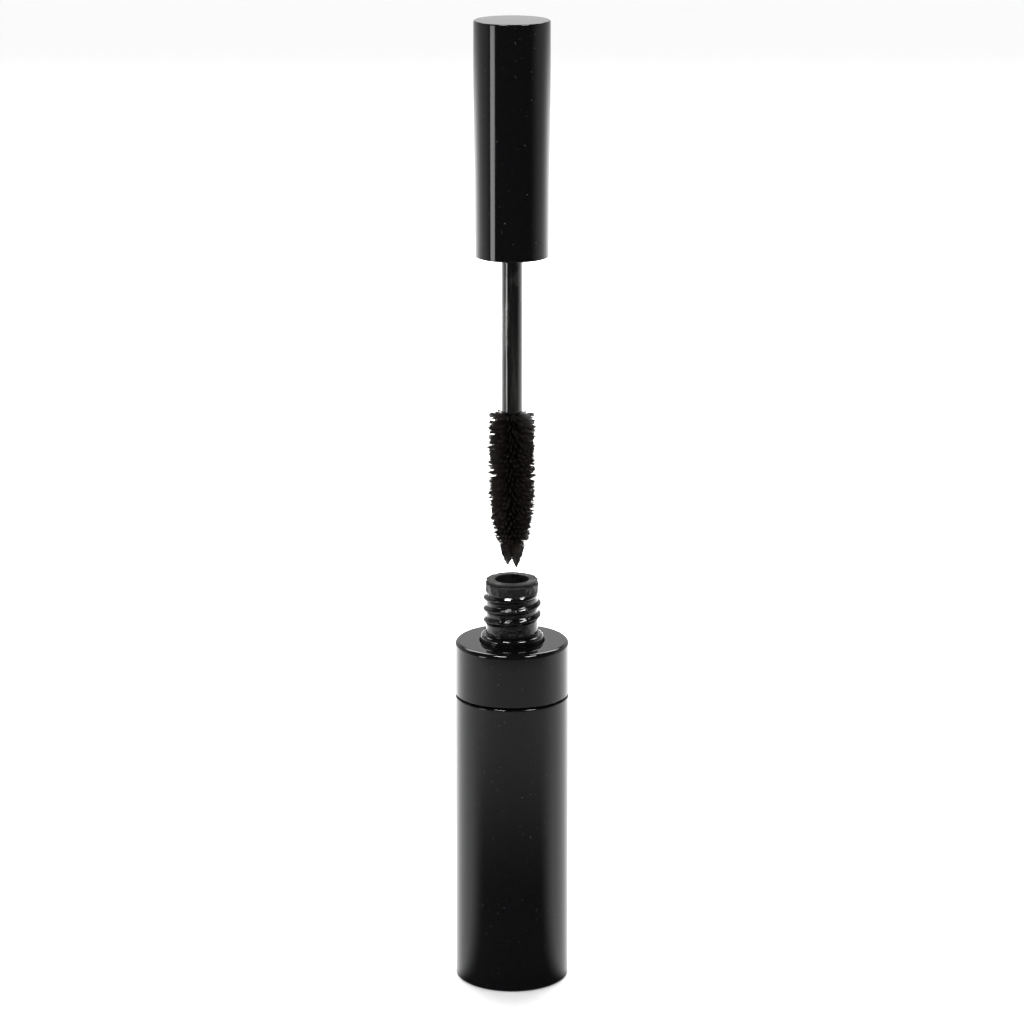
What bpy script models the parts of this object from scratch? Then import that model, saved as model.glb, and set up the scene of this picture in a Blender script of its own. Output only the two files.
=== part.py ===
"""Mascara tube with its screw-on applicator, drawn straight up out of the tube.

The frame is +Z up, with the origin at the centre of the base.
Every piece is designed in the closed position, with the cap screwed down.
Empties on the common axis then lift and turn the moving pieces to the open rest position.
"""

import bpy
import bmesh
from math import atan2, cos, hypot, pi, radians, sin

MM = 0.001

# ---- driving sizes: tube ----
TUBE_DIAMETER = 20.0 * MM
SHOULDER_HEIGHT = 62.0 * MM
COLLAR_HEIGHT = 9.8 * MM
SLEEVE_WALL = 1.4 * MM
EDGE_BEVEL = 0.5 * MM
SHOULDER_ROUND = 0.75 * MM
BASE_PLUG_HEIGHT = 3.0 * MM
VIAL_WALL = 1.0 * MM
VIAL_FLOOR = 1.5 * MM
FILL_HEIGHT = 26.0 * MM

# ---- driving sizes: neck, thread and wiper ----
THREAD_DIAMETER = 10.2 * MM
THREAD_DEPTH = 0.55 * MM
THREAD_LEAD = 2.0 * MM
THREAD_TURNS = 3.0
THREAD_HALF_WIDTH = 0.5 * MM
THREAD_FLANK = 0.25 * MM
THREAD_RUN_OUT_TURNS = 0.12
THREAD_TO_RIM = 2.3 * MM
NECK_HEIGHT = 11.0 * MM
NECK_WALL = 0.85 * MM
FLANGE_OUT = 0.95 * MM
FLANGE_RISE = 1.2 * MM
FLANGE_ROUND = 0.57 * MM
WIPER_WALL = 0.45 * MM
WIPER_RIM = 0.5 * MM
WIPER_TUBE = 7.0 * MM
WIPER_CONE = 4.0 * MM

# ---- driving sizes: cap and wand ----
CAP_LENGTH = 40.0 * MM
CAP_TOP_WALL = 1.5 * MM
SHELL_WALL = 0.65 * MM
INNER_CAP_WALL = 0.5 * MM
CEILING = 1.5 * MM
HUB_LENGTH = 12.0 * MM
HUB_WALL = 1.2 * MM
LINER_THICKNESS = 1.0 * MM
ROD_DIAMETER = 3.7 * MM
ROD_HEAD_HEIGHT = 1.4 * MM
ROD_HEAD_OUT = 1.0 * MM
ROD_END_ROUND = 0.555 * MM
SOCKET_DEPTH = 6.0 * MM
BRUSH_LENGTH = 27.5 * MM
BRUSH_DIAMETER = 8.2 * MM
BRUSH_TIP_SHARE = 0.36
BRUSH_TAPER_SHARE = 0.52
BRUSH_END_SHARE = 0.06
BRUSH_END_DRAW_IN = 0.35
WIRE_DIAMETER = 0.56 * MM
WIRE_WAIST = 0.55
WIRE_TWIST = 5.5 * MM
TIP_CLEARANCE = 2.5 * MM

# ---- motion ----
SCREW_TURNS = 1.75
TIP_ABOVE_RIM = 2.0 * MM

# ---- clearances ----
SEAT_GAP = 0.3 * MM
PRESS_GAP = 0.1 * MM
THREAD_CLEARANCE = 0.15 * MM
ROD_CLEARANCE = 0.3 * MM
FEMALE_MINOR_CLEARANCE = 0.25 * MM
CHANNEL_CLEARANCE = 0.5 * MM

# ---- mesh fineness ----
SEGMENTS = 32
SMALL_SEGMENTS = 20
ROUND_STEPS = 3
THREAD_ROW = 0.25 * MM
BRUSH_RINGS = 12
WIRE_SIDES = 10
WIRE_RINGS_PER_TWIST = 8
SHARP_ANGLE = radians(35)
MERGE_DISTANCE = 0.001 * MM
WALL_TOLERANCE = 0.005 * MM

# ---- radii worked out from the driving sizes ----
TUBE_R = TUBE_DIAMETER / 2
SLEEVE_BORE_R = TUBE_R - SLEEVE_WALL
VIAL_R = SLEEVE_BORE_R - SEAT_GAP
VIAL_BORE_R = VIAL_R - VIAL_WALL
CREST_R = THREAD_DIAMETER / 2
NECK_R = CREST_R - THREAD_DEPTH
NECK_BORE_R = NECK_R - NECK_WALL
FLANGE_R = NECK_R + FLANGE_OUT
ROD_R = ROD_DIAMETER / 2
WIPER_R = NECK_BORE_R - SEAT_GAP
WIPER_BORE_R = WIPER_R - WIPER_WALL
ORIFICE_R = ROD_R + ROD_CLEARANCE
INNER_CAP_BORE_R = CREST_R + THREAD_CLEARANCE
INNER_CAP_R = INNER_CAP_BORE_R + INNER_CAP_WALL
SHELL_BORE_R = INNER_CAP_R + PRESS_GAP
CAP_R = SHELL_BORE_R + SHELL_WALL
HUB_BORE_R = ROD_R + ROD_CLEARANCE
HUB_R = HUB_BORE_R + HUB_WALL
SOCKET_R = WIRE_DIAMETER + SEAT_GAP
BRUSH_R = BRUSH_DIAMETER / 2
CHANNEL_R = BRUSH_R + CHANNEL_CLEARANCE

# ---- heights in the closed position ----
SLEEVE_TOP = SHOULDER_HEIGHT - COLLAR_HEIGHT
RIM_Z = SHOULDER_HEIGHT + NECK_HEIGHT
NECK_TOP = RIM_Z - WIPER_RIM
VIAL_BOTTOM = BASE_PLUG_HEIGHT + SEAT_GAP
FLOOR_Z = VIAL_BOTTOM + VIAL_FLOOR
COLLAR_CEILING = SHOULDER_HEIGHT - SLEEVE_WALL
THREAD_HIGH = RIM_Z - THREAD_TO_RIM
THREAD_LOW = THREAD_HIGH - THREAD_TURNS * THREAD_LEAD
CAP_BOTTOM = SHOULDER_HEIGHT + SEAT_GAP
CAP_TOP = CAP_BOTTOM + CAP_LENGTH
INNER_CAP_BOTTOM = SHOULDER_HEIGHT + FLANGE_RISE + 2 * SEAT_GAP
LINER_BOTTOM = RIM_Z + SEAT_GAP
CEILING_Z = LINER_BOTTOM + LINER_THICKNESS + SEAT_GAP
HUB_TOP = CEILING_Z + CEILING + HUB_LENGTH
TIP_Z = FLOOR_Z + TIP_CLEARANCE
ROD_BOTTOM = TIP_Z + BRUSH_LENGTH

# ---- travel ----
SCREW_RISE = SCREW_TURNS * THREAD_LEAD
REST_LIFT = RIM_Z + TIP_ABOVE_RIM - TIP_Z
FEMALE_LOW = THREAD_HIGH + 2 * THREAD_HALF_WIDTH + THREAD_CLEARANCE - SCREW_RISE


def make_material(name, colour, roughness, metallic=0.0):
    """One Principled material."""
    material = bpy.data.materials.new(name)
    material.use_nodes = True
    shader = material.node_tree.nodes["Principled BSDF"]
    shader.inputs["Base Color"].default_value = (*colour, 1.0)
    shader.inputs["Roughness"].default_value = roughness
    shader.inputs["Metallic"].default_value = metallic
    return material


def add_object(name, bm, material, parent=None):
    """Turn a bmesh into a smooth-shaded object that hangs from an empty."""
    bmesh.ops.recalc_face_normals(bm, faces=bm.faces[:])
    mesh = bpy.data.meshes.new(name)
    bm.to_mesh(mesh)
    bm.free()
    mesh.shade_smooth()
    mesh.set_sharp_from_angle(angle=SHARP_ANGLE)
    mesh.materials.append(material)
    piece = bpy.data.objects.new(name, mesh)
    bpy.context.collection.objects.link(piece)
    piece.parent = parent
    return piece


def add_empty(name, lift, turn):
    """A frame on the common axis, which its pieces move with."""
    empty = bpy.data.objects.new(name, None)
    empty.location = (0.0, 0.0, lift)
    empty.rotation_euler = (0.0, 0.0, turn)
    bpy.context.collection.objects.link(empty)
    return empty


def rounded_corner(radius, z, size, upper=True):
    """Points round an outer corner, read upwards."""
    points = []
    for step in range(ROUND_STEPS + 1):
        angle = pi / 2 * step / ROUND_STEPS
        out = size * (1 - cos(angle))
        up = size * sin(angle)
        points.append((radius - out, z - size + up))
    if upper:
        return points
    return [(r, 2 * z - height) for r, height in reversed(points)]


def turn_outline(outline, segments=SEGMENTS):
    """Spin an outline of (radius, height) points round the Z axis.

    An outline that starts and ends on the axis stays open there; any other is a closed ring.
    """
    bm = bmesh.new()
    verts = [bm.verts.new((radius, 0.0, height)) for radius, height in outline]
    edges = [bm.edges.new(pair) for pair in zip(verts, verts[1:])]
    if outline[0][0] > 0 or outline[-1][0] > 0:
        edges.append(bm.edges.new((verts[-1], verts[0])))
    bmesh.ops.spin(bm, geom=verts + edges, cent=(0, 0, 0), axis=(0, 0, 1),
                   angle=2 * pi, steps=segments, use_merge=True)
    bmesh.ops.remove_doubles(bm, verts=bm.verts[:], dist=MERGE_DISTANCE)
    return bm


def wall_rows(radius, low, high):
    """Rows of points up a wall, close enough to carry a thread."""
    count = round((high - low) / THREAD_ROW)
    return [(radius, low + (high - low) * row / count) for row in range(count + 1)]


def thread_height(angle, z, low, turns):
    """Height of a helical ridge, from 0 to 1, at one place on its wall."""
    share = (angle % (2 * pi)) / (2 * pi)
    turn = round((z - low) / THREAD_LEAD - share)
    along = turn + share
    aside = abs(z - low - along * THREAD_LEAD)
    run_out = min(along, turns - along) / THREAD_RUN_OUT_TURNS
    height = min(1.0, max(0.0, (THREAD_HALF_WIDTH - aside) / THREAD_FLANK))
    return height * height * (3 - 2 * height) * min(1.0, max(0.0, run_out))


def raise_thread(bm, wall_radius, out, low, turns):
    """Move the points of one wall along their radius, to form the ridge."""
    for vert in bm.verts:
        radius = hypot(vert.co.x, vert.co.y)
        if abs(radius - wall_radius) < WALL_TOLERANCE:
            angle = atan2(vert.co.y, vert.co.x)
            grown = radius + out * thread_height(angle, vert.co.z, low, turns)
            vert.co.x *= grown / radius
            vert.co.y *= grown / radius


# ---- tube pieces ----

def outer_sleeve(material):
    outline = rounded_corner(TUBE_R, 0.0, EDGE_BEVEL, upper=False)
    outline += [(TUBE_R, SLEEVE_TOP - PRESS_GAP)]
    outline += [(TUBE_R - PRESS_GAP, SLEEVE_TOP)]
    outline += [(SLEEVE_BORE_R, SLEEVE_TOP), (SLEEVE_BORE_R, 0.0)]
    add_object("outer_sleeve", turn_outline(outline), material)


def collar(material):
    hole_r = FLANGE_R + SEAT_GAP
    bottom = SLEEVE_TOP + SEAT_GAP
    outline = [(SLEEVE_BORE_R, bottom), (TUBE_R - PRESS_GAP, bottom), (TUBE_R, bottom + PRESS_GAP)]
    outline += rounded_corner(TUBE_R, SHOULDER_HEIGHT, SHOULDER_ROUND)
    outline += [(hole_r, SHOULDER_HEIGHT), (hole_r, COLLAR_CEILING), (SLEEVE_BORE_R, COLLAR_CEILING)]
    add_object("collar", turn_outline(outline), material)


def vial(material):
    """The bottle that holds the mascara, with its flange and threaded neck."""
    shoulder = COLLAR_CEILING - SEAT_GAP
    slope = VIAL_WALL
    outline = [(0.0, VIAL_BOTTOM), (VIAL_R - slope, VIAL_BOTTOM), (VIAL_R, VIAL_BOTTOM + slope)]
    outline += [(VIAL_R, shoulder - slope), (VIAL_R - slope / 2, shoulder), (FLANGE_R, shoulder)]
    outline += rounded_corner(FLANGE_R, SHOULDER_HEIGHT + FLANGE_RISE, FLANGE_ROUND)
    outline += wall_rows(NECK_R, SHOULDER_HEIGHT + FLANGE_RISE, NECK_TOP)
    outline += [(NECK_BORE_R, NECK_TOP), (NECK_BORE_R, shoulder - slope)]
    outline += [(VIAL_BORE_R, shoulder - 2 * slope), (VIAL_BORE_R, FLOOR_Z), (0.0, FLOOR_Z)]
    bm = turn_outline(outline)
    raise_thread(bm, NECK_R, THREAD_DEPTH, THREAD_LOW, THREAD_TURNS)
    add_object("vial", bm, material)


def wiper(material):
    """Soft insert: its rim sits on the neck and its cone scrapes the rod."""
    tube_end = NECK_TOP - WIPER_TUBE
    tip = tube_end - WIPER_CONE
    rim_bottom = NECK_TOP + PRESS_GAP
    outline = [(NECK_R - PRESS_GAP, RIM_Z), (NECK_R - PRESS_GAP, rim_bottom), (WIPER_R, rim_bottom)]
    outline += [(WIPER_R, tube_end), (ORIFICE_R + WIPER_WALL, tip), (ORIFICE_R, tip)]
    outline += [(WIPER_BORE_R, tube_end), (WIPER_BORE_R, RIM_Z)]
    add_object("wiper", turn_outline(outline), material)


def base_plug(material):
    radius = SLEEVE_BORE_R - SEAT_GAP
    outline = [(0.0, 0.0), (radius - EDGE_BEVEL, 0.0), (radius, EDGE_BEVEL)]
    outline += [(radius, BASE_PLUG_HEIGHT), (0.0, BASE_PLUG_HEIGHT)]
    add_object("base_plug", turn_outline(outline), material)


def mascara_fill(material):
    """Mascara on the vial's wall, round the channel that the brush has cleared."""
    radius = VIAL_BORE_R - PRESS_GAP
    bottom = FLOOR_Z + PRESS_GAP
    top = bottom + FILL_HEIGHT
    outline = [(CHANNEL_R, bottom), (radius, bottom), (radius, top)]
    outline += [((CHANNEL_R + radius) / 2, top - EDGE_BEVEL), (CHANNEL_R, top - 2 * EDGE_BEVEL)]
    add_object("mascara_fill", turn_outline(outline), material)


# ---- applicator pieces ----

def cap_shell(material, parent):
    ceiling = CAP_TOP - CAP_TOP_WALL
    outline = [(0.0, CAP_TOP)]
    outline += list(reversed(rounded_corner(CAP_R, CAP_TOP, EDGE_BEVEL)))
    outline += [(CAP_R, CAP_BOTTOM + PRESS_GAP), (CAP_R - PRESS_GAP, CAP_BOTTOM)]
    outline += [(SHELL_BORE_R, CAP_BOTTOM), (SHELL_BORE_R, ceiling), (0.0, ceiling)]
    add_object("cap_shell", turn_outline(outline), material, parent)


def inner_cap(material, parent):
    """Threaded insert of the cap, with the hub that holds the rod."""
    outline = [(INNER_CAP_R, INNER_CAP_BOTTOM), (INNER_CAP_R, CEILING_Z + CEILING)]
    outline += [(HUB_R, CEILING_Z + CEILING), (HUB_R, HUB_TOP), (HUB_BORE_R, HUB_TOP)]
    outline += [(HUB_BORE_R, CEILING_Z)]
    outline += list(reversed(wall_rows(INNER_CAP_BORE_R, INNER_CAP_BOTTOM, CEILING_Z)))
    bm = turn_outline(outline)
    depth = INNER_CAP_BORE_R - NECK_R - FEMALE_MINOR_CLEARANCE
    half_turn = THREAD_LEAD / 2
    low = THREAD_LOW + half_turn
    first_turn = -(-(FEMALE_LOW - low) // THREAD_LEAD)
    start = low + first_turn * THREAD_LEAD
    last = CEILING_Z - THREAD_HALF_WIDTH
    raise_thread(bm, INNER_CAP_BORE_R, -depth, start, (last - start) / THREAD_LEAD)
    add_object("inner_cap", bm, material, parent)


def cap_liner(material, parent):
    """Sealing ring, pressed on the wiper's rim when the cap is closed."""
    inner = ROD_R + ROD_CLEARANCE
    outer = NECK_R
    top = LINER_BOTTOM + LINER_THICKNESS
    outline = [(inner, LINER_BOTTOM), (outer, LINER_BOTTOM), (outer, top), (inner, top)]
    add_object("cap_liner", turn_outline(outline), material, parent)


def wand_rod(material, parent):
    head_r = ROD_R + ROD_HEAD_OUT
    head_bottom = HUB_TOP + SEAT_GAP
    head_top = head_bottom + ROD_HEAD_HEIGHT
    outline = [(0.0, head_top), (head_r, head_top), (head_r, head_bottom), (ROD_R, head_bottom)]
    outline += rounded_corner(ROD_R, ROD_BOTTOM, ROD_END_ROUND, upper=False)[::-1]
    outline += [(SOCKET_R, ROD_BOTTOM), (SOCKET_R, ROD_BOTTOM + SOCKET_DEPTH)]
    outline += [(0.0, ROD_BOTTOM + SOCKET_DEPTH)]
    add_object("wand_rod", turn_outline(outline, SMALL_SEGMENTS), material, parent)


def brush_core(material, parent):
    """Two wires twisted together, as one solid with a waisted section."""
    length = BRUSH_LENGTH + SOCKET_DEPTH - SEAT_GAP
    rings = round(length / WIRE_TWIST * WIRE_RINGS_PER_TWIST)
    bm = bmesh.new()
    loops = []
    for ring in range(rings + 1):
        height = length * ring / rings
        twist = pi * height / WIRE_TWIST
        loop = []
        for side in range(WIRE_SIDES):
            angle = 2 * pi * side / WIRE_SIDES
            radius = WIRE_DIAMETER * (WIRE_WAIST + (1 - WIRE_WAIST) * cos(angle) ** 2)
            place = (radius * cos(angle + twist), radius * sin(angle + twist), TIP_Z + height)
            loop.append(bm.verts.new(place))
        loops.append(loop)
    for low, high in zip(loops, loops[1:]):
        for side in range(WIRE_SIDES):
            after = (side + 1) % WIRE_SIDES
            bm.faces.new((low[side], low[after], high[after], high[side]))
    bm.faces.new(loops[0])
    bm.faces.new(loops[-1])
    add_object("brush_core", bm, material, parent)


def brush_radius(share):
    """Radius of the bristles, from the tip at 0 to the rod's end at 1."""
    rise = sin(pi / 2 * min(1.0, share / BRUSH_TAPER_SHARE))
    taper = BRUSH_TIP_SHARE + (1 - BRUSH_TIP_SHARE) * rise
    shoulder = max(0.0, (share - 1 + BRUSH_END_SHARE) / BRUSH_END_SHARE)
    return BRUSH_R * taper * (1 - BRUSH_END_DRAW_IN * shoulder * shoulder)


def bristles(material, parent):
    """Outer shape of the bristles, open round the wires."""
    bore = WIRE_DIAMETER + PRESS_GAP
    length = BRUSH_LENGTH - SEAT_GAP
    outline = [(bore, TIP_Z + length)]
    for ring in range(BRUSH_RINGS, -1, -1):
        share = ring / BRUSH_RINGS
        outline.append((brush_radius(share), TIP_Z + length * share))
    outline.append((bore, TIP_Z))
    add_object("bristles", turn_outline(outline, SMALL_SEGMENTS), material, parent)


def main():
    for old in list(bpy.data.objects):
        bpy.data.objects.remove(old, do_unlink=True)

    gloss_black = (0.006, 0.006, 0.007)
    outer_sleeve(make_material("sleeve_lacquer", gloss_black, 0.12))
    collar(make_material("collar_lacquer", gloss_black, 0.12))
    vial(make_material("vial_plastic", (0.010, 0.010, 0.011), 0.16))
    wiper(make_material("wiper_plastic", (0.045, 0.045, 0.048), 0.62))
    base_plug(make_material("plug_plastic", (0.012, 0.012, 0.013), 0.35))
    mascara_fill(make_material("mascara", (0.008, 0.007, 0.007), 0.28))

    applicator = add_empty("applicator_frame", REST_LIFT, 2 * pi * SCREW_TURNS)
    liner_frame = add_empty("liner_frame", REST_LIFT - SCREW_RISE, 0.0)
    cap_shell(make_material("cap_lacquer", gloss_black, 0.12), applicator)
    inner_cap(make_material("inner_cap_plastic", (0.012, 0.012, 0.013), 0.30), applicator)
    cap_liner(make_material("liner_foam", (0.75, 0.75, 0.73), 0.80), liner_frame)
    wand_rod(make_material("rod_plastic", (0.015, 0.014, 0.014), 0.34), applicator)
    brush_core(make_material("brush_wire", (0.35, 0.34, 0.33), 0.40, 1.0), applicator)
    bristles(make_material("bristle_fibre", (0.012, 0.009, 0.008), 0.75), applicator)
    bpy.context.view_layer.update()


main()
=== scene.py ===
# %% [markdown]
# # Mascara tube, open, with its applicator drawn straight up
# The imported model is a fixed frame: every piece here is made in its place, in metres, +Z up.
# We load it first and keep its outer box, because the fine pieces must stay inside it.

# %% Load the frame
from math import cos, hypot, pi, radians, sin

import bpy
import numpy as np
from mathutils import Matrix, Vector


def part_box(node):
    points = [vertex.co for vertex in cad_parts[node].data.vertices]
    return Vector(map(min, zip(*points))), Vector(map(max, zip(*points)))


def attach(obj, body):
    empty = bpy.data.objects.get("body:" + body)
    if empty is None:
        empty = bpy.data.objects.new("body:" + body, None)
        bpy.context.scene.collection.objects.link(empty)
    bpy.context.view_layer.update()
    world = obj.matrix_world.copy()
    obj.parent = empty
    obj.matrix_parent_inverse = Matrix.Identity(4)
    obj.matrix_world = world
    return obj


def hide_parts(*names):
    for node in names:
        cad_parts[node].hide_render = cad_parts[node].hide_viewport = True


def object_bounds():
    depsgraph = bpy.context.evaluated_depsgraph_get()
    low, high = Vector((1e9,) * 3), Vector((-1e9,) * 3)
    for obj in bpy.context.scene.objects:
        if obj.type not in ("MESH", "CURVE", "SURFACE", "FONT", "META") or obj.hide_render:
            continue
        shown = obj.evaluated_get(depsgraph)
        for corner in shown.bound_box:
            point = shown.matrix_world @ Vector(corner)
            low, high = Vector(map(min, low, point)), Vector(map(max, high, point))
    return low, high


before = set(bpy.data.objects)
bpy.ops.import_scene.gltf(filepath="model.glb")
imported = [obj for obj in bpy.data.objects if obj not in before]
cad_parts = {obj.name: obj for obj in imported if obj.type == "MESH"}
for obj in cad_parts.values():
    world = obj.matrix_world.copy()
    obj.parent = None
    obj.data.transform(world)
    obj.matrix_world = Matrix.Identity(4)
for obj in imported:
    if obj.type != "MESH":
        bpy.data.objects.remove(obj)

cad_low, cad_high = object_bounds()
print("the object is", [round((b - a) * 1000, 1) for a, b in zip(cad_low, cad_high)], "mm")

# %% [markdown]
# ## Sizes
# Outer sizes are read from the frame's boxes. The liner's box also gives the neck's radius.
# Wall thicknesses and bores aren't in a box, so they are named here, in millimetres times MM.

# %% Read the sizes
MM = 0.001


def radius_of(node):
    """Outer radius of a round node."""
    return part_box(node)[1][0]


def heights_of(node):
    """Lowest and highest point of a node."""
    low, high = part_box(node)
    return low[2], high[2]


SEAT_GAP = 0.3 * MM
SLEEVE_WALL = 1.4 * MM
COLLAR_ROUND = 0.75 * MM
COLLAR_HOLE_GAP = 0.2 * MM
VIAL_WALL = 1.0 * MM
VIAL_FLOOR = 1.5 * MM
NECK_WALL = 0.85 * MM
FLANGE_OUT = 0.95 * MM
FLANGE_RISE = 1.2 * MM
FLANGE_ROUND = 0.6 * MM
RIM_CHAMFER = 0.15 * MM
THREAD_LEAD = 2.0 * MM
THREAD_DEPTH = 0.55 * MM
THREAD_TURNS = 3.0
THREAD_TO_RIM = 2.3 * MM
RIDGE_HALF_WIDTH = 0.72 * MM
INNER_THREAD_DEPTH = 0.45 * MM
INNER_THREAD_HALF_WIDTH = 0.5 * MM
INNER_THREAD_RISE = 4.9 * MM
INNER_THREAD_TURNS = 2.2
INNER_THREAD_START = 3 * pi / 2
WIPER_WALL = 0.45 * MM
WIPER_CONE = 4.0 * MM
WIPER_RIM = 0.4 * MM
CAP_WALL = 0.65 * MM
CAP_TOP_WALL = 1.5 * MM
INNER_CAP_WALL = 0.5 * MM
CEILING = 1.5 * MM
HUB_LENGTH = 12.0 * MM
HUB_WALL = 1.2 * MM
ROD_R = 1.85 * MM
HEAD_OUT = 1.0 * MM
HEAD_HEIGHT = 1.4 * MM
SOCKET_R = 0.7 * MM
SOCKET_DEPTH = 6.0 * MM

TUBE_R = radius_of("outer_sleeve")
SLEEVE_BORE_R = TUBE_R - SLEEVE_WALL
CAP_R = radius_of("cap_shell")
CAP_BORE_R = CAP_R - CAP_WALL
NECK_R = radius_of("cap_liner")
BRUSH_R = radius_of("bristles")
RIM_Z = heights_of("wiper")[1]
SHOULDER_Z = heights_of("collar")[1]
for label, size in (("tube radius", TUBE_R), ("cap radius", CAP_R), ("rim at", RIM_Z)):
    print(label, round(size / MM, 2), "mm")

# %% [markdown]
# ## Camera
# A small object is shot with a long lens from a little above, which keeps its sides nearly parallel.

# %% Camera
CAMERA_ELEVATION = radians(15)
CAMERA_DISTANCE = 0.62
LENS = 126
middle = (cad_low[2] + cad_high[2]) / 2

bpy.ops.object.select_all(action="DESELECT")
place = (0.0, -CAMERA_DISTANCE * cos(CAMERA_ELEVATION), middle + CAMERA_DISTANCE * sin(CAMERA_ELEVATION))
bpy.ops.object.camera_add(location=place, rotation=(pi / 2 - CAMERA_ELEVATION, 0, 0))
camera = bpy.context.object
camera.data.lens = LENS
camera.data.sensor_width = 36
bpy.context.scene.camera = camera
bpy.context.scene.view_settings.view_transform = "Standard"
print("camera", [round(v, 3) for v in place])

# %% [markdown]
# ## Light
# Black lacquer has no colour of its own to show: what you see is the studio in it.
# Seen from a little above, its upright walls mirror the floor. A wide panel behind makes the floor there
# bright, which draws the pale edges down the sides. Two small lamps overhead give the sparkles on the
# shoulder and the thread, and a low strip at the left draws the bright line down the cap and the rod.

# %% Lights


def soft_panel(name, place, size, power, aim=(0.0, 0.0, middle)):
    """A rectangular light that faces a point."""
    bpy.ops.object.light_add(type="AREA", location=place)
    light = bpy.context.object
    light.name = name
    light.data.shape = "RECTANGLE"
    light.data.size, light.data.size_y = size
    light.data.energy = power
    ray = np.array(aim) - np.array(place)
    light.rotation_euler = (np.arctan2(hypot(ray[0], ray[1]), -ray[2]), 0, np.arctan2(-ray[0], ray[1]))
    light.visible_camera = False
    return light


back_panel = soft_panel("back_panel", (0.0, 0.62, 0.62), (1.50, 0.40), 20.0, aim=(0.0, 0.50, 0.0))
back_panel.data.spread = radians(95)
for name, place, size in (("front_left_lamp", (-0.20, -0.20, 0.80), (0.22, 0.10)),
                          ("front_right_lamp", (0.36, -0.22, 0.80), (0.26, 0.10))):
    soft_panel(name, place, size, 7.0).visible_diffuse = False
soft_panel("strip_lamp", (-0.31, -0.18, 0.071), (0.09, 0.118), 0.42, aim=(0.0, 0.0, 0.071))
print("one panel behind, two lamps overhead and a strip at the left")

# %% [markdown]
# ## Shader maths
# A material is a graph of nodes. Wrapping a socket in a small class lets us write its maths
# as ordinary Python: `mask * 0.3 + 0.1` adds a multiply and an add node.

# %% Sockets and materials


class Sock:
    """A node's output that can be used in sums."""

    def __init__(self, shader, output):
        self.shader = shader
        self.output = output

    def _math(self, operation, first, second):
        return self.shader.node("ShaderNodeMath", {"operation": operation}, {0: first, 1: second})

    def __add__(self, other):
        return self._math("ADD", self, other)

    def __radd__(self, other):
        return self._math("ADD", other, self)

    def __sub__(self, other):
        return self._math("SUBTRACT", self, other)

    def __rsub__(self, other):
        return self._math("SUBTRACT", other, self)

    def __mul__(self, other):
        return self._math("MULTIPLY", self, other)

    def __rmul__(self, other):
        return self._math("MULTIPLY", other, self)


class Graph:
    """A node tree, built up node by node."""

    def __init__(self, owner):
        owner.use_nodes = True
        self.tree = owner.node_tree

    def node(self, kind, settings=None, inputs=None, output=0):
        made = self.tree.nodes.new(kind)
        for key, value in (settings or {}).items():
            if key == "stops":
                ramp = made.color_ramp.elements
                while len(ramp) < len(value):
                    ramp.new(0.5)
                for element, (position, colour) in zip(ramp, value):
                    element.position = position
                    element.color = colour
            else:
                setattr(made, key, value)
        for key, value in (inputs or {}).items():
            self.feed(made.inputs[key], value)
        return Sock(self, made.outputs[output])

    def feed(self, socket, value):
        if isinstance(value, Sock):
            self.tree.links.new(value.output, socket)
        else:
            socket.default_value = value

    def between(self, value, low, high):
        """0 below low, 1 above high, smooth between."""
        settings = {"interpolation_type": "SMOOTHSTEP"}
        inputs = {"Value": value, "From Min": low, "From Max": high}
        return self.node("ShaderNodeMapRange", settings, inputs)


class Shader(Graph):
    """A material with a Principled surface."""

    def __init__(self, name, **constants):
        self.material = bpy.data.materials.new(name)
        super().__init__(self.material)
        self.surface = self.tree.nodes["Principled BSDF"]
        self.set(**constants)

    def set(self, **values):
        """Set or link surface sockets: base_color=..., roughness=..."""
        for key, value in values.items():
            self.feed(self.surface.inputs[SOCKET_NAMES[key]], value)

    def place(self, stretch=(1.0, 1.0, 1.0)):
        """Object coordinates, stretched."""
        where = self.node("ShaderNodeTexCoord", output="Object")
        return self.node("ShaderNodeMapping", inputs={"Vector": where, "Scale": stretch})

    def along_z(self, low, high):
        """0 below one height, 1 above another."""
        height = self.node("ShaderNodeSeparateXYZ", inputs={"Vector": self.place()}, output=2)
        return self.between(height, low, high)

    def noise(self, scale, detail=4.0, roughness=0.5, stretch=(1.0, 1.0, 1.0)):
        inputs = {"Vector": self.place(stretch), "Scale": scale, "Detail": detail, "Roughness": roughness}
        return self.node("ShaderNodeTexNoise", inputs=inputs)

    def mix(self, share, first, second):
        """Blend of two colours."""
        inputs = {"Factor": share, 6: first, 7: second}
        return self.node("ShaderNodeMix", {"data_type": "RGBA"}, inputs, output=2)

    def bump(self, height, depth, strength=1.0):
        inputs = {"Height": height, "Distance": depth, "Strength": strength}
        self.set(normal=self.node("ShaderNodeBump", inputs=inputs))


SOCKET_NAMES = {"base_color": "Base Color", "roughness": "Roughness", "metallic": "Metallic",
                "normal": "Normal", "specular": "Specular IOR Level", "alpha": "Alpha"}
print("shader helpers ready")

# %% [markdown]
# ## Surround
# The studio is evenly white, except in mirrors. They see a pale band low down at the back and a dim
# room elsewhere, so that gloss reads as black with crisp lights in it.

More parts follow.
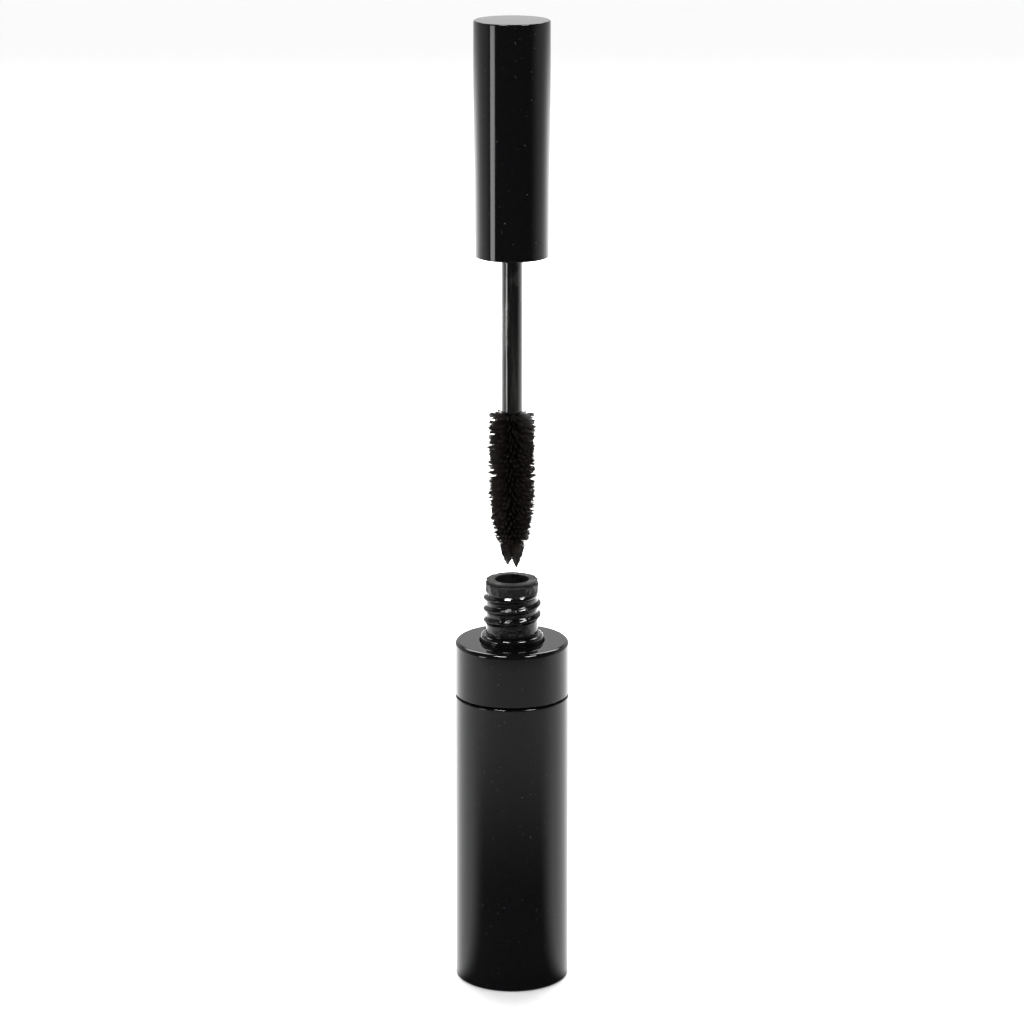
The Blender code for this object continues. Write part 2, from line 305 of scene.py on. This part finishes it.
# %% Surround
SURROUND = 1.08
ROOM = 0.08
world = bpy.data.worlds.new("studio")
bpy.context.scene.world = world
studio = Graph(world)
direction = studio.node("ShaderNodeTexCoord")
behind = studio.node("ShaderNodeSeparateXYZ", inputs={"Vector": direction}, output=1)
above = studio.node("ShaderNodeSeparateXYZ", inputs={"Vector": direction}, output=2)
pale_band = studio.between(behind, -0.25, 0.30) * (1 - studio.between(above, 0.34, 0.60))
in_mirrors = studio.node("ShaderNodeLightPath", output=3)
strength = SURROUND - in_mirrors * (1 - pale_band) * (SURROUND - ROOM)
studio.feed(studio.tree.nodes["Background"].inputs["Color"], (1.0, 1.0, 1.0, 1.0))
studio.feed(studio.tree.nodes["Background"].inputs["Strength"], strength)
print("a white surround that is dim in mirrors")

# %% [markdown]
# ## Black lacquer
# Sprayed lacquer on a moulded shell is close to a mirror, but never quite flat: it has a long, low
# waviness that bends reflections, a haze of handling marks, and a few specks of dust.

# %% Lacquer


def lacquer(name, tint):
    shader = Shader(name, specular=0.19)
    haze = shader.between(shader.noise(90, detail=5, stretch=(1, 1, 0.35)), 0.50, 0.72)
    specks = shader.between(shader.noise(2600, detail=2), 0.735, 0.76)
    shader.set(base_color=shader.mix(specks * 0.6, tint, (0.10, 0.10, 0.10, 1.0)))
    shader.set(roughness=0.055 + haze * 0.07 + specks * 0.4)
    waves = shader.noise(42, detail=1, stretch=(1, 1, 0.45))
    shader.bump(waves + specks * 0.02, 0.10 * MM, 0.35)
    return shader.material


BLACK = (0.0030, 0.0030, 0.0034, 1.0)
sleeve_lacquer = lacquer("sleeve_lacquer", BLACK)
collar_lacquer = lacquer("collar_lacquer", BLACK)
cap_lacquer = lacquer("cap_lacquer", BLACK)
print("lacquers", [m.name for m in (sleeve_lacquer, collar_lacquer, cap_lacquer)])

# %% [markdown]
# ## Moulded plastics
# The neck is bare glossy plastic, dulled where mascara has dried on it. The wiper's rim is matte grey,
# wet and darker in patches. The rod is satin; its pale lengthwise marks are partly scrape wear, partly
# painted sheen.

# %% Neck and wiper plastic
CRUST_LOW = RIM_Z - THREAD_TO_RIM
neck = Shader("neck_plastic", specular=0.26)
dried = neck.between(neck.noise(420, detail=6, roughness=0.62), 0.52, 0.66)
crusted = neck.along_z(CRUST_LOW - 0.2 * MM, CRUST_LOW + 0.5 * MM)
neck.set(base_color=neck.mix(dried, (0.003, 0.003, 0.003, 1), (0.009, 0.008, 0.007, 1)))
neck.set(roughness=0.05 + dried * 0.13 + crusted * 0.44)
neck.bump(neck.noise(620, detail=4) * (0.9 + crusted * 1.2) + dried * 0.7, 0.08 * MM, 0.65)

wiper_skin = Shader("wiper_plastic", specular=0.14)
mottle = wiper_skin.noise(900, detail=7, roughness=0.65)
wet = wiper_skin.between(wiper_skin.noise(260, detail=3), 0.50, 0.60)
grey = wiper_skin.mix(mottle, (0.004, 0.004, 0.004, 1), (0.022, 0.020, 0.018, 1))
wiper_skin.set(base_color=wiper_skin.mix(wet, grey, (0.005, 0.004, 0.004, 1)))
wiper_skin.set(roughness=0.66 - wet * 0.42)
wiper_skin.bump(mottle, 0.06 * MM, 0.7)
print("neck and wiper plastics")

# %% Rod, inner cap and base plastic
rod_skin = Shader("rod_plastic", specular=0.42)
# The rod's pale lengthwise marks in its colour are partly wear from the wiper, partly painted sheen for its
# highlights.
wear_and_sheen_streaks = rod_skin.between(rod_skin.noise(520, detail=6, roughness=0.6, stretch=(1, 1, 0.06)), 0.47, 0.74)
smears = rod_skin.between(rod_skin.noise(170, detail=5, roughness=0.6, stretch=(1, 1, 0.4)), 0.53, 0.66)
wear_and_painted_sheen = wear_and_sheen_streaks * 0.5 * smears + smears * 0.2 + wear_and_sheen_streaks * 0.16
rod_skin.set(base_color=rod_skin.mix(wear_and_painted_sheen, (0.004, 0.004, 0.004, 1), (0.11, 0.105, 0.10, 1)))
rod_skin.set(roughness=0.15 + wear_and_painted_sheen * 0.30)
rod_skin.bump(wear_and_sheen_streaks + smears * 0.6, 0.03 * MM, 0.5)

inner_skin = Shader("inner_cap_plastic", specular=0.5)
flow = inner_skin.noise(240, detail=4, stretch=(1, 1, 0.25))
inner_skin.set(base_color=inner_skin.mix(flow, (0.007, 0.007, 0.007, 1), (0.016, 0.016, 0.016, 1)))
inner_skin.set(roughness=0.16 + flow * 0.18)
inner_skin.bump(flow, 0.03 * MM, 0.3)

plug_skin = Shader("plug_plastic", specular=0.5)
grain = plug_skin.noise(3200, detail=3)
plug_skin.set(base_color=plug_skin.mix(grain, (0.009, 0.009, 0.009, 1), (0.020, 0.020, 0.020, 1)))
plug_skin.set(roughness=0.34 + grain * 0.2)
plug_skin.bump(grain, 0.02 * MM, 0.7)
print("rod, inner cap and base plastics")

# %% [markdown]
# ## Soft and wet things
# Fibres are black-brown and dull. Fresh mascara is black and wet. The liner is pale foam with small pores.

# %% Fibres, mascara, wire and foam
fibre = Shader("bristle_fibre", specular=0.4)
patch = fibre.noise(600, detail=4)
fibre.set(base_color=fibre.mix(patch, (0.0060, 0.0048, 0.0042, 1), (0.034, 0.026, 0.022, 1)))
fibre.set(roughness=0.52 - patch * 0.20)

paste = Shader("mascara", specular=0.5)
lumps = paste.noise(700, detail=5, roughness=0.6)
paste.set(base_color=paste.mix(lumps, (0.0035, 0.003, 0.003, 1), (0.009, 0.008, 0.0075, 1)))
paste.set(roughness=0.18 + lumps * 0.35)
paste.bump(lumps, 0.12 * MM, 0.7)

wire = Shader("brush_wire", metallic=1.0)
coated = wire.between(wire.noise(500, detail=4), 0.42, 0.58)
wire.set(base_color=wire.mix(coated, (0.42, 0.41, 0.40, 1), (0.02, 0.018, 0.017, 1)))
wire.set(roughness=0.30 + coated * 0.35, metallic=1 - coated)

foam = Shader("liner_foam", specular=0.3)
pores = foam.noise(2400, detail=3)
foam.set(base_color=foam.mix(pores, (0.60, 0.60, 0.58, 1), (0.82, 0.82, 0.80, 1)))
foam.set(roughness=0.85)
foam.bump(pores, 0.05 * MM, 0.8)
print("fibre, mascara, wire and foam")

# %% [markdown]
# ## A lathe
# Nearly every piece here is round. Blender's spin tool does what a lathe does: we place a ring of points
# as the section of the wall, at +X, and turn it round the Z axis. A Bevel then breaks its hard edges,
# and weighted normals keep the flat and the round faces clean, which gloss would otherwise give away.

# %% Lathe helpers
STEPS = 128


def turned(name, section, steps=STEPS):
    """Spin a closed ring of (radius, height) points round the Z axis."""
    bpy.ops.object.select_all(action="DESELECT")
    bpy.ops.mesh.primitive_circle_add(vertices=len(section), radius=1.0)
    piece = bpy.context.object
    piece.name = name
    for vert, (radius, height) in zip(piece.data.vertices, section):
        vert.co = (radius, 0.0, height)
    bpy.ops.object.mode_set(mode="EDIT")
    bpy.ops.mesh.select_all(action="SELECT")
    bpy.ops.mesh.spin(steps=steps, angle=2 * pi, center=(0, 0, 0), axis=(0, 0, 1))
    bpy.ops.mesh.select_all(action="SELECT")
    bpy.ops.mesh.remove_doubles(threshold=0.001 * MM)
    bpy.ops.mesh.delete_loose()
    bpy.ops.mesh.select_all(action="SELECT")
    bpy.ops.mesh.normals_make_consistent(inside=False)
    bpy.ops.object.mode_set(mode="OBJECT")
    return piece


def soften(piece, width, segments=3):
    """Round the hard edges and clean the shading."""
    bpy.ops.object.select_all(action="DESELECT")
    bpy.context.view_layer.objects.active = piece
    piece.select_set(True)
    bevel = piece.modifiers.new("edges", "BEVEL")
    bevel.width = width
    bevel.segments = segments
    bevel.limit_method = "ANGLE"
    bevel.angle_limit = radians(32)
    bpy.ops.object.modifier_apply(modifier=bevel.name)
    smooth(piece)


def smooth(piece):
    """Smooth shading that leaves flat faces flat."""
    bpy.ops.object.select_all(action="DESELECT")
    bpy.context.view_layer.objects.active = piece
    piece.select_set(True)
    bpy.ops.object.shade_smooth_by_angle(angle=radians(50))
    clean = piece.modifiers.new("clean", "WEIGHTED_NORMAL")
    clean.keep_sharp = True
    bpy.ops.object.modifier_apply(modifier=clean.name)


def rounded(radius, height, size, steps):
    """Points up and round an outer top corner."""
    turns = [pi / 2 * step / steps for step in range(steps + 1)]
    return [(radius - size * (1 - cos(turn)), height - size * (1 - sin(turn))) for turn in turns]


def finish(piece, material, slot, body, *nodes):
    """Give a piece its finish and its body, and hide the nodes that it stands for."""
    piece.data.materials.clear()
    piece.data.materials.append(material)
    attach(piece, body)
    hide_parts(*nodes)
    triangles = sum(len(face.vertices) - 2 for face in piece.data.polygons)
    print(piece.name, "on", body, "-", triangles, "triangles")


# %% [markdown]
# ## Tube: sleeve and collar
# The sleeve is a straight shell. The collar above the seam is a second moulding with a flat shoulder
# and a hole for the neck. A thin broken edge on both sides of the seam catches the light as a line.

# %% Sleeve
sleeve_low, sleeve_high = heights_of("outer_sleeve")
sleeve = turned("sleeve", [(TUBE_R, sleeve_low), (TUBE_R, sleeve_high),
                           (SLEEVE_BORE_R, sleeve_high), (SLEEVE_BORE_R, sleeve_low)])
soften(sleeve, 0.30 * MM, segments=4)
finish(sleeve, sleeve_lacquer, "sleeve_lacquer", "tube", "outer_sleeve")

# %% Collar
collar_low = heights_of("collar")[0]
FLANGE_R = NECK_R + FLANGE_OUT
COLLAR_HOLE_R = FLANGE_R + COLLAR_HOLE_GAP
collar_ceiling = SHOULDER_Z - SLEEVE_WALL
section = [(SLEEVE_BORE_R, collar_ceiling), (SLEEVE_BORE_R, collar_low), (TUBE_R, collar_low)]
section += rounded(TUBE_R, SHOULDER_Z, COLLAR_ROUND, 8)
section += [(COLLAR_HOLE_R, SHOULDER_Z), (COLLAR_HOLE_R, collar_ceiling)]
collar_ring = turned("collar_ring", section)
soften(collar_ring, 0.14 * MM, segments=3)
finish(collar_ring, collar_lacquer, "collar_lacquer", "tube", "collar")

# %% [markdown]
# ## Threads
# A moulded thread has rounded ridges that run out gently at both ends. We turn a wall with many fine rows
# and move its points along their radius, by how near each lies to the helix. Dried mascara round the
# mouth is raised the same way, by a sum of waves with random lengths.

# %% Thread and crust helpers
THREAD_ROW = 0.07 * MM
ON_WALL = 0.004 * MM
RIDGE_FULLNESS = 0.7
RUN_OUT_TURNS = 0.16
CRUST_WAVES = 16
CRUST_FINENESS = 5000
CRUST_DEPTH = 0.14 * MM
CRUST_FADE = 0.4 * MM


def wall(radius, low, high, row=THREAD_ROW):
    """Points up a wall, in fine rows."""
    return [(radius, height) for height in np.linspace(low, high, max(2, round((high - low) / row) + 1))]


def polar(piece):
    """A piece's points, with their radius and angle."""
    points = np.empty(len(piece.data.vertices) * 3)
    piece.data.vertices.foreach_get("co", points)
    points = points.reshape(-1, 3)
    return points, np.hypot(points[:, 0], points[:, 1]), np.arctan2(points[:, 1], points[:, 0])


def scale_radius(piece, points, grown):
    """Move a piece's points along their radius."""
    points[:, 0] *= grown
    points[:, 1] *= grown
    piece.data.vertices.foreach_set("co", points.ravel())
    piece.data.update()


def raise_thread(piece, wall_r, out, low, turns, half_width, start_angle=0.0):
    """Raise a rounded helical ridge on one wall."""
    points, radius, angle = polar(piece)
    on_wall = np.abs(radius - wall_r) < ON_WALL
    share = ((angle - start_angle) % (2 * pi)) / (2 * pi)
    turn = np.round((points[:, 2] - low) / THREAD_LEAD - share)
    along = turn + share
    aside = np.abs(points[:, 2] - low - along * THREAD_LEAD)
    height = 0.5 + 0.5 * np.cos(pi * np.clip(aside / half_width, 0, 1))
    height = height ** RIDGE_FULLNESS
    run_out = np.clip(np.minimum(along, turns - along) / RUN_OUT_TURNS, 0, 1)
    scale_radius(piece, points, np.where(on_wall, 1 + out * height * run_out / np.maximum(radius, MM), 1.0))


def crust(piece, low, depth, seed):
    """Raise low lumps on the outer side of a band, as dried mascara does."""
    points, radius, angle = polar(piece)
    draw = np.random.default_rng(seed)
    lumps = np.zeros(len(points))
    for _ in range(CRUST_WAVES):
        around = draw.integers(4, 36) * angle
        upwards = draw.uniform(-CRUST_FINENESS, CRUST_FINENESS) * points[:, 2]
        lumps += np.sin(around + upwards + draw.uniform(0, 2 * pi))
    outside = np.clip((radius - NECK_R + 0.5 * MM) / (0.3 * MM), 0, 1)
    band = np.clip((points[:, 2] - low) / CRUST_FADE, 0, 1) * outside
    scale_radius(piece, points, 1 + depth * np.clip(lumps / 4, 0, 1) * band / np.maximum(radius, MM))


# %% [markdown]
# ## Vial
# Only its flange, neck and thread are seen; the bottle below is hidden in the sleeve.

# %% Vial
vial_low, vial_top = heights_of("vial")
VIAL_R = radius_of("vial")
NECK_BORE_R = NECK_R - NECK_WALL
vial_shoulder = collar_ceiling - SEAT_GAP
flange_top = SHOULDER_Z + FLANGE_RISE

section = [(0.0, vial_low), (VIAL_R, vial_low), (VIAL_R, vial_shoulder), (FLANGE_R, vial_shoulder)]
section += rounded(FLANGE_R, flange_top, FLANGE_ROUND, 8)
section += wall(NECK_R, flange_top + 0.02 * MM, vial_top - RIM_CHAMFER)
section += [(NECK_R - RIM_CHAMFER, vial_top), (NECK_BORE_R, vial_top),
            (NECK_BORE_R, vial_shoulder - VIAL_WALL), (VIAL_R - VIAL_WALL, vial_shoulder - 2 * VIAL_WALL),
            (VIAL_R - VIAL_WALL, vial_low + VIAL_FLOOR), (0.0, vial_low + VIAL_FLOOR)]
vial_fine = turned("threaded_vial", section)
thread_low = RIM_Z - THREAD_TO_RIM - THREAD_TURNS * THREAD_LEAD
raise_thread(vial_fine, NECK_R, THREAD_DEPTH, thread_low, THREAD_TURNS, RIDGE_HALF_WIDTH)
crust(vial_fine, CRUST_LOW, CRUST_DEPTH, seed=3)
smooth(vial_fine)
finish(vial_fine, neck.material, "vial_plastic", "tube", "vial")

# %% [markdown]
# ## Wiper
# A soft insert: a flat ring on the rim, a tube in the neck and a cone that scrapes the rod.

# %% Wiper
WIPER_R = NECK_BORE_R - SEAT_GAP
WIPER_BORE_R = WIPER_R - WIPER_WALL
ORIFICE_R = ROD_R + SEAT_GAP
WIPER_RIM_R = NECK_R - 0.1 * MM
wiper_low = heights_of("wiper")[0]
cone_top = wiper_low + WIPER_CONE
rim_low = RIM_Z - WIPER_RIM
wiper_fine = turned("wiper_insert", [
    (WIPER_RIM_R, rim_low), (WIPER_RIM_R, RIM_Z), (WIPER_BORE_R, RIM_Z),
    (WIPER_BORE_R, cone_top), (ORIFICE_R, wiper_low), (ORIFICE_R + WIPER_WALL, wiper_low),
    (WIPER_R, cone_top), (WIPER_R, rim_low)])
soften(wiper_fine, 0.10 * MM, segments=3)
crust(wiper_fine, rim_low - CRUST_FADE, CRUST_DEPTH, seed=4)
smooth(wiper_fine)
finish(wiper_fine, wiper_skin.material, "wiper_plastic", "tube", "wiper")

# %% [markdown]
# ## Cap
# The shell is a lacquered cup, open downwards. Its insert carries the matching thread, high up inside,
# and the hub that grips the rod. The cap has been unscrewed by 1.75 turns, so its thread starts three
# quarters of a turn round.

# %% Cap shell
cap_low, cap_high = heights_of("cap_shell")
cap_ceiling = cap_high - CAP_TOP_WALL
cap_fine = turned("cap", [(0.0, cap_high), (CAP_R, cap_high), (CAP_R, cap_low),
                          (CAP_BORE_R, cap_low), (CAP_BORE_R, cap_ceiling), (0.0, cap_ceiling)])
soften(cap_fine, 0.24 * MM, segments=4)
finish(cap_fine, cap_lacquer, "cap_lacquer", "cap", "cap_shell")

# %% Inner cap
INNER_R = radius_of("inner_cap")
INNER_BORE_R = INNER_R - INNER_CAP_WALL
inner_low, hub_high = heights_of("inner_cap")
ceiling_top = hub_high - HUB_LENGTH
ceiling_low = ceiling_top - CEILING
HUB_BORE_R = ROD_R + SEAT_GAP
HUB_R = HUB_BORE_R + HUB_WALL
section = [(INNER_R, inner_low), (INNER_R, ceiling_top), (HUB_R, ceiling_top), (HUB_R, hub_high),
           (HUB_BORE_R, hub_high), (HUB_BORE_R, ceiling_low)]
section += wall(INNER_BORE_R, inner_low, ceiling_low, row=0.12 * MM)[::-1]
inner_fine = turned("inner_cap_insert", section, steps=96)
raise_thread(inner_fine, INNER_BORE_R, -INNER_THREAD_DEPTH, ceiling_low - INNER_THREAD_RISE,
             INNER_THREAD_TURNS, INNER_THREAD_HALF_WIDTH, start_angle=INNER_THREAD_START)
smooth(inner_fine)
finish(inner_fine, inner_skin.material, "inner_cap_plastic", "cap", "inner_cap")

# %% [markdown]
# ## Rod
# A plain satin rod with a rounded lower end, where the brush's wire goes in, and a head that holds it
# in the hub.

# %% Rod
rod_low, rod_high = heights_of("wand_rod")
HEAD_R = ROD_R + HEAD_OUT
head_low = rod_high - HEAD_HEIGHT
socket_top = rod_low + SOCKET_DEPTH
ROD_CHAMFER = 0.5 * MM
rod_fine = turned("rod", [(0.0, rod_high), (HEAD_R, rod_high), (HEAD_R, head_low), (ROD_R, head_low),
                          (ROD_R, rod_low + ROD_CHAMFER), (ROD_R - ROD_CHAMFER, rod_low), (SOCKET_R, rod_low),
                          (SOCKET_R, socket_top), (0.0, socket_top)], steps=72)
soften(rod_fine, 0.14 * MM)
finish(rod_fine, rod_skin.material, "rod_plastic", "rod", "wand_rod")

# %% [markdown]
# ## Brush wire
# Two wires twisted together grip the fibres. One wire is a circle swept up a helix, and its partner
# is the same half a turn round.

# %% Wires
brush_low, brush_high = heights_of("bristles")
core_low, core_high = heights_of("brush_core")
wire_low = core_low + 2.6 * MM
WIRE_R = 0.27 * MM
TWIST = 1.9 * MM
WIRE_POINTS = 260
curve = bpy.data.curves.new("twisted_wire", "CURVE")
curve.dimensions = "3D"
curve.bevel_depth = WIRE_R
curve.bevel_resolution = 2
curve.use_fill_caps = True
for half in (0.0, pi):
    spline = curve.splines.new("POLY")
    spline.points.add(WIRE_POINTS - 1)
    for index, point in enumerate(spline.points):
        height = wire_low + (core_high - wire_low) * index / (WIRE_POINTS - 1)
        angle = half + 2 * pi * (height - wire_low) / TWIST
        point.co = (WIRE_R * cos(angle), WIRE_R * sin(angle), height, 1.0)
wires = bpy.data.objects.new("twisted_wire", curve)
bpy.context.collection.objects.link(wires)
bpy.ops.object.select_all(action="DESELECT")
bpy.context.view_layer.objects.active = wires
wires.select_set(True)
bpy.ops.object.convert(target="MESH")
wires = bpy.context.object
bpy.ops.object.shade_smooth()
finish(wires, wire.material, "brush_wire", "cap", "brush_core")

# %% [markdown]
# ## Bristles
# Thousands of nylon fibres stand out from the wire, trimmed to a taper. Mascara gathers neighbours
# into small points, so we lean each fibre's end towards the middle of its clump. One fibre is a thin
# three-sided spike with a bend in it. Every fibre has its faces, and numbers from a seeded generator
# place its points.

# %% One fibre
FIBRE_R = 0.054 * MM
RINGS = 3
ring = np.array([(cos(2 * pi * k / 3), sin(2 * pi * k / 3)) for k in range(3)])
faces_of_one = []
for level in range(RINGS - 1):
    for side in range(3):
        after = (side + 1) % 3
        low, high = level * 3, level * 3 + 3
        faces_of_one.append((low + side, low + after, high + after, high + side))
print("one fibre has", 3 * RINGS, "points")

# %% Place the fibres
FIBRES = 13600
TIP_FIBRES = 1300
TIP_BARE = 0.06
TIP_SHARE = 0.20
CLUMP_ROWS = 32
CLUMPS_ROUND = 26
FORK_OUT = 0.75 * MM
ROW_TURN = 0.618
BRUSH_TIP_SHARE = 0.36
BRUSH_TAPER_SHARE = 0.52
ROOT_R = 0.35 * MM
random = np.random.default_rng(7)


def trim_radius(share):
    """Length of the fibres from the axis, from the tip at 0 to the rod's end at 1."""
    rise = np.sin(pi / 2 * np.clip(share / BRUSH_TAPER_SHARE, 0, 1))
    taper = BRUSH_TIP_SHARE + (1 - BRUSH_TIP_SHARE) * rise
    shoulder = np.clip((share - 0.94) / 0.06, 0, 1)
    return BRUSH_R * taper * (1 - 0.06 * shoulder ** 2)


share = random.random(FIBRES)
share[:TIP_FIBRES] *= 0.10
share = TIP_BARE + (1 - TIP_BARE) * share
angle = random.random(FIBRES) * 2 * pi
row = np.floor(share * CLUMP_ROWS)
row_turn = (ROW_TURN * row) % 1
place_round = np.floor(angle / (2 * pi) * CLUMPS_ROUND + row_turn)
clump = (row * (CLUMPS_ROUND + 2) + place_round).astype(int)
jitter = np.random.default_rng(11).random((clump.max() + 1, 4))
clump_share = (row + 0.5 + 0.55 * (jitter[clump, 0] - 0.5)) / CLUMP_ROWS
clump_angle = place_round - row_turn + 0.5 + 0.8 * (jitter[clump, 1] - 0.5)
clump_angle = clump_angle / CLUMPS_ROUND * 2 * pi
pull = 0.66 + 0.30 * jitter[clump, 2]
length = 0.91 + 0.12 * jitter[clump, 3] + 0.04 * random.standard_normal(FIBRES)

brush_height = brush_high - brush_low
tip_lean = np.clip((TIP_SHARE - share) / (TIP_SHARE - TIP_BARE), 0, 1)
tip_side = np.where(np.cos(angle) > 0, 1.0, -1.0)
tilt = random.normal(0, 0.10, FIBRES)

t = np.linspace(0, 1, RINGS)[None, :]
end_r = np.clip(trim_radius(share) * length, 0.5 * MM, BRUSH_R * 1.07)
end_share = share + (clump_share - share) * pull
end_angle = angle + (clump_angle - angle) * pull
radial = ROOT_R + (end_r - ROOT_R)[:, None] * t
bent = t ** 1.6
height = brush_low + brush_height * (share[:, None] + (end_share - share)[:, None] * bent)
crown = np.clip((share - 0.93) / 0.07, 0, 1)
height = height + (tilt * 0.9 * MM + crown * 0.6 * MM)[:, None] * t
turned_by = angle[:, None] + (end_angle - angle)[:, None] * bent
centre = np.stack([radial * np.cos(turned_by), radial * np.sin(turned_by), height], axis=-1)

point_at = np.stack([tip_side * FORK_OUT, np.zeros(FIBRES), np.full(FIBRES, brush_low)], axis=-1)
point_at[:, 2] += np.where(tip_side > 0, 0.0, 0.5 * MM) + random.random(FIBRES) ** 2 * 0.9 * MM
point_at[:, :2] += random.normal(0, 0.06 * MM, (FIBRES, 2))
lean = (tip_lean ** 0.8)[:, None, None] * (t ** 1.2)[:, :, None]
centre = centre * (1 - lean) + point_at[:, None, :] * lean
centre[:, :, 2] = np.clip(centre[:, :, 2], brush_low, brush_high + 0.6 * MM)

along = np.gradient(centre, axis=1)
along /= np.maximum(np.linalg.norm(along, axis=-1, keepdims=True), 1e-9)
across = np.cross(along, np.array([0.0, 0.0, 1.0]))
across /= np.maximum(np.linalg.norm(across, axis=-1, keepdims=True), 1e-9)
other = np.cross(along, across)
thickness = FIBRE_R * (1.0 - 0.35 * t ** 2)[:, :, None, None]
points = centre[:, :, None, :] + thickness * (
    across[:, :, None, :] * ring[None, None, :, 0:1] + other[:, :, None, :] * ring[None, None, :, 1:2])
points = points.reshape(-1, 3)
caps = [(0, 2, 1), tuple(3 * (RINGS - 1) + k for k in range(3))]
faces = [tuple(index + 3 * RINGS * one for index in face)
         for one in range(FIBRES) for face in faces_of_one + caps]
mesh = bpy.data.meshes.new("bristle_fibres")
mesh.from_pydata(points.tolist(), [], faces)
fibres = bpy.data.objects.new("bristle_fibres", mesh)
bpy.context.collection.objects.link(fibres)
bpy.ops.object.select_all(action="DESELECT")
bpy.context.view_layer.objects.active = fibres
fibres.select_set(True)
bpy.ops.object.mode_set(mode="EDIT")
bpy.ops.mesh.select_all(action="SELECT")
bpy.ops.mesh.normals_make_consistent(inside=False)
bpy.ops.object.mode_set(mode="OBJECT")
finish(fibres, fibre.material, "bristle_fibre", "cap", "bristles")

# %% [markdown]
# ## Pieces kept from the frame
# The base plug, the mascara and the liner are simple and nearly hidden, so their solids stay
# and only take a better finish.

# %% Finish the kept pieces
for node, material in (("base_plug", plug_skin.material), ("mascara_fill", paste.material),
                       ("cap_liner", foam.material)):
    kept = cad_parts[node]
    for material_slot in kept.material_slots:
        material_slot.material = material
    print(node, "keeps its solid")

# %% [markdown]
# ## Floor

# %% Floor
bpy.ops.object.select_all(action="DESELECT")
bpy.ops.mesh.primitive_plane_add(size=30.0, location=(0, 0, cad_low[2] - 0.02 * MM))
floor = bpy.context.object
floor.name = "floor"
floor_paint = Shader("floor_paint", roughness=0.6, specular=0.2)
floor_paint.set(base_color=(0.95, 0.95, 0.95, 1))
floor.data.materials.append(floor_paint.material)
print("floor at", round(floor.location.z / MM, 2), "mm")

# %% [markdown]
# ## Black card
# A black card in front keeps the middle of the lacquer dark, as photographers do with negative fill.
# It is graded: gone where the collar mirrors the floor, full where the rod and the cap do.
# Only mirrors see it.

# %% Black card
CARD_SIZE = 4.0
bpy.ops.object.select_all(action="DESELECT")
bpy.ops.mesh.primitive_plane_add(size=CARD_SIZE, location=(0, -CARD_SIZE / 2, cad_low[2] + 0.3 * MM))
card = bpy.context.object
card.name = "front_card"
bpy.ops.object.transform_apply(location=True, rotation=False, scale=False)
card_paint = Shader("front_card_paint", base_color=(0, 0, 0, 1), roughness=1.0, specular=0.0)
ground = card_paint.place()
reach = card_paint.node("ShaderNodeVectorMath", {"operation": "LENGTH"}, {0: ground}, output=1)
facing = card_paint.node("ShaderNodeVectorMath", {"operation": "NORMALIZE"}, {0: ground})
ahead = card_paint.node("ShaderNodeSeparateXYZ", inputs={"Vector": facing}, output=1)
near_part = 1 - card_paint.between(reach, 0.05, 0.17)
far_part = card_paint.between(reach, 0.195, 0.222)
shade = 0.22 + (near_part + far_part) * 0.74
card_paint.set(alpha=shade * card_paint.between(0 - ahead, 0.05, 0.60))
card.data.materials.append(card_paint.material)
card.visible_camera = False
card.visible_diffuse = False
card.visible_shadow = False
print("card in front, seen only by mirrors")
